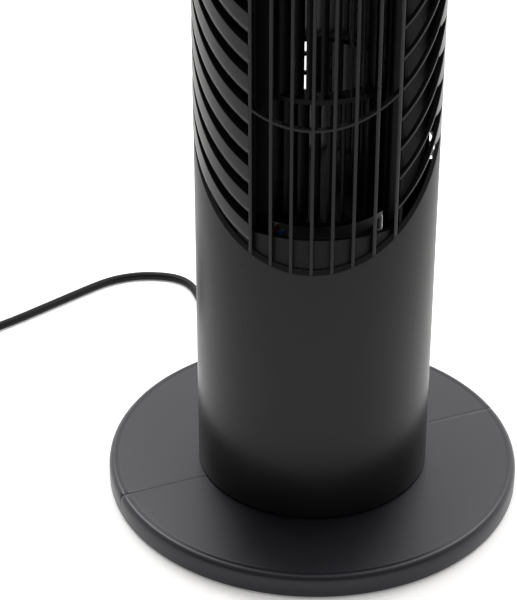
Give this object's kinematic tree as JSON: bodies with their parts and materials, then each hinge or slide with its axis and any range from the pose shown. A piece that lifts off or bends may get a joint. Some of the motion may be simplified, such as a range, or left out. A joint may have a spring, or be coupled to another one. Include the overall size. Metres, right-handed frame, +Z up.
{
  "type": "oscillating tower fan",
  "caption": "Slim cylindrical tower fan with slanted side louvres and upright ribs, swinging on a round two-piece base.",
  "frame": {"origin": "centre of the round base, on the floor", "axes": "+Z up; -Y is the way the column's outlet faces at rest; +X to the right seen from the front"},
  "size_m": [0.4428, 0.3701, 0.79],
  "materials": {
    "base_plastic": "fine moulded texture",
    "column_plastic": "fine moulded texture",
    "duct_plastic": "moulded",
    "impeller_plastic": "moulded",
    "steel": "plated",
    "zinc_steel": "zinc plated",
    "lamination_steel": "varnished laminations",
    "rubber": "matte",
    "pale_plastic": "moulded",
    "slippery_plastic": "self-lubricating",
    "cup_grey": "satin",
    "lead_red": "insulated lead",
    "lead_blue": "insulated lead",
    "bronze": "sintered",
    "panel_gloss": "polished",
    "board_green": "solder mask",
    "key_grey": "satin",
    "knob_black": "satin",
    "cord_rubber": "satin vinyl",
    "tie_black": "coated wire",
    "brass_pins": "nickelled brass"
  },
  "bodies": {
    "base": {"base_front_half": "base_plastic", "base_rear_half": "base_plastic", "joining_ring": "steel", "base_screws": "steel", "rubber_feet": "rubber", "spindle": "pale_plastic", "spindle_screws": "steel", "swivel_washer": "slippery_plastic", "ring_gear": "slippery_plastic", "retaining_clip": "steel", "strain_relief": "cord_rubber", "mains_cord": "cord_rubber", "cord_coil": "cord_rubber", "cord_tie": "tie_black", "plug_body": "cord_rubber", "plug_pins": "brass_pins"},
    "column": {"swivel_plate": "column_plastic", "motor_posts": "column_plastic", "swing_motor": "zinc_steel", "lower_shell": "column_plastic", "rear_casing": "column_plastic", "casing_screws": "steel", "motor_deck": "column_plastic", "motor_cup": "cup_grey", "fan_motor": "lamination_steel", "capacitor": "pale_plastic", "motor_lead_red": "lead_red", "motor_lead_blue": "lead_blue", "air_guide": "duct_plastic", "tongue_wall": "duct_plastic", "left_liner": "duct_plastic", "right_liner": "duct_plastic", "outlet_sill": "column_plastic", "front_ribs": "column_plastic", "left_louvres": "column_plastic", "right_louvres": "column_plastic", "slot_webs": "column_plastic", "louvre_posts": "duct_plastic", "bearing_bracket": "duct_plastic", "bearing_bush": "bronze", "upper_shell": "column_plastic", "handle_pocket": "duct_plastic", "top_cap": "column_plastic", "control_panel": "panel_gloss", "circuit_board": "board_green", "switch_block": "pale_plastic", "timer_body": "pale_plastic"},
    "fan_rotor": {"impeller": "impeller_plastic", "motor_shaft": "steel"},
    "swing_pinion": {"drive_pinion": "slippery_plastic"},
    "timer": {"timer_knob": "knob_black"},
    "key_off": {"key_off": "key_grey"},
    "key_low": {"key_low": "key_grey"},
    "key_medium": {"key_medium": "key_grey"},
    "key_high": {"key_high": "key_grey"},
    "key_swing": {"key_swing": "key_grey"}
  },
  "joints": [
    {"name": "swing", "type": "hinge", "parent": "base", "child": "column", "pos_m": [0, 0, 0.02], "axis": [0, 0, 1], "range_deg": [-9, 61]},
    {"name": "pinion_turn", "type": "hinge", "parent": "column", "child": "swing_pinion", "pos_m": [0, 0.0321, 0.034], "axis": [0, 0, 1], "range_deg": [-27.5, 183.5]},
    {"name": "fan_spin", "type": "hinge", "parent": "column", "child": "fan_rotor", "pos_m": [0, 0, 0.3], "axis": [0, 0, 1], "continuous": true},
    {"name": "timer_turn", "type": "hinge", "parent": "column", "child": "timer", "pos_m": [0, 0.012, 0.78], "axis": [0, 0, -1], "range_deg": [0, 300]},
    {"name": "key_off_press", "type": "slide", "parent": "column", "child": "key_off", "axis": [0, 0, -1], "range_m": [0, 0.002], "stiffness_N_per_m": 400},
    {"name": "key_low_press", "type": "slide", "parent": "column", "child": "key_low", "axis": [0, 0, -1], "range_m": [0, 0.002], "stiffness_N_per_m": 400},
    {"name": "key_medium_press", "type": "slide", "parent": "column", "child": "key_medium", "axis": [0, 0, -1], "range_m": [0, 0.002], "stiffness_N_per_m": 400},
    {"name": "key_high_press", "type": "slide", "parent": "column", "child": "key_high", "axis": [0, 0, -1], "range_m": [0, 0.002], "stiffness_N_per_m": 400},
    {"name": "key_swing_press", "type": "slide", "parent": "column", "child": "key_swing", "axis": [0, 0, -1], "range_m": [0, 0.002], "stiffness_N_per_m": 400}
  ],
  "couplings": [
    {"joint": "pinion_turn", "follows": "swing", "ratio": 3}
  ]
}
